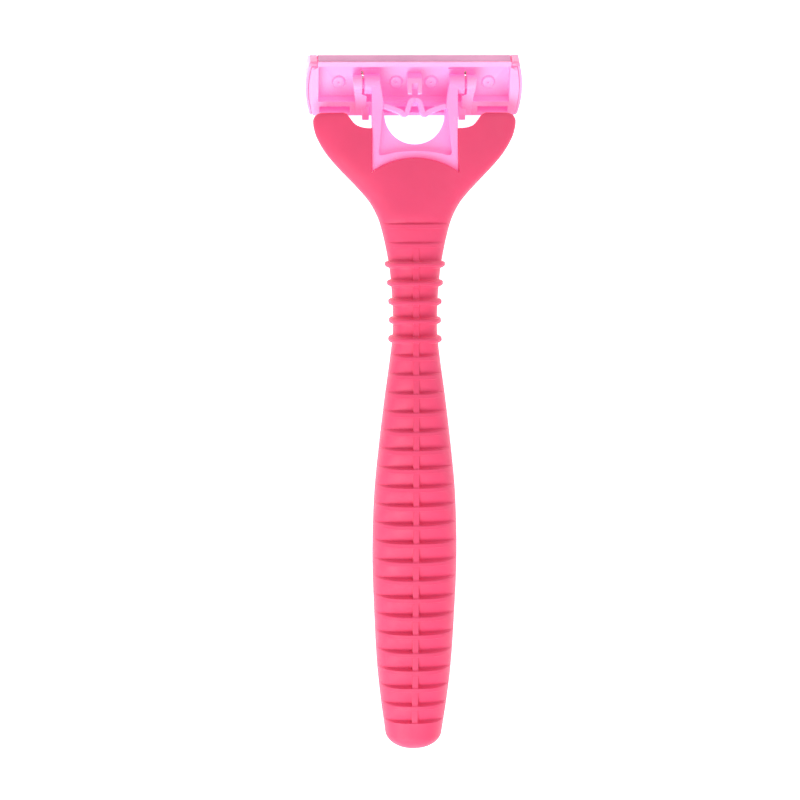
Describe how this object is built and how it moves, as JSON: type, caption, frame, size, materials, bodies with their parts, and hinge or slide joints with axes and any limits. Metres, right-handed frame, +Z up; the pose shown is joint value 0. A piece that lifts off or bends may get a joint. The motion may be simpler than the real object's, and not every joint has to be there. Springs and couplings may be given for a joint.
{
  "type": "cartridge razor",
  "caption": "Wet-shaving razor with a long ribbed soft grip, a Y-shaped head and a wide blade cartridge that pivots between two arms against a leaf spring.",
  "frame": {"origin": "middle of the bounding box of the razor as it lies back upwards, on the surface that it lies on", "axes": "+X right across the cartridge, +Y from the tail of the grip to the cartridge, +Z up, out of the razor's back"},
  "size_m": [0.041, 0.1336, 0.0147],
  "materials": {
    "grip_rubber": "matt soft-touch elastomer",
    "core_plastic": "satin moulded",
    "tray_plastic": "satin moulded",
    "strip_polymer": "waxy",
    "fin_rubber": "matt elastomer",
    "blade_steel": "ground and honed",
    "support_steel": "rolled"
  },
  "bodies": {
    "handle": {"grip": "grip_rubber", "handle_core": "core_plastic"},
    "cartridge": {"cartridge_tray": "tray_plastic", "blade_frame": "tray_plastic", "end_cap_left": "tray_plastic", "end_cap_right": "tray_plastic", "lubricating_strip": "strip_polymer", "guard_fins": "fin_rubber", "blade_1": "blade_steel", "blade_2": "blade_steel", "blade_3": "blade_steel", "blade_4": "blade_steel", "blade_5": "blade_steel", "blade_support_1": "support_steel", "blade_support_2": "support_steel", "blade_support_3": "support_steel", "blade_support_4": "support_steel", "blade_support_5": "support_steel"},
    "spring": {"return_spring": "core_plastic"}
  },
  "joints": [
    {"name": "cartridge_pivot", "type": "hinge", "parent": "handle", "child": "cartridge", "pos_m": [0, 0.06134, 0.00751], "axis": [1, 0, 0], "range_deg": [0, 40], "stiffness_Nm_per_rad": 0.004, "springref_deg": -17.19},
    {"name": "spring_flex", "type": "slide", "parent": "handle", "child": "spring", "axis": [0, -0.9965, 0.0834], "range_m": [0, 0.00046], "deforming": ["return_spring"]}
  ],
  "couplings": [
    {"joint": "spring_flex", "follows": "cartridge_pivot", "m_per_rad": 0.00065}
  ]
}
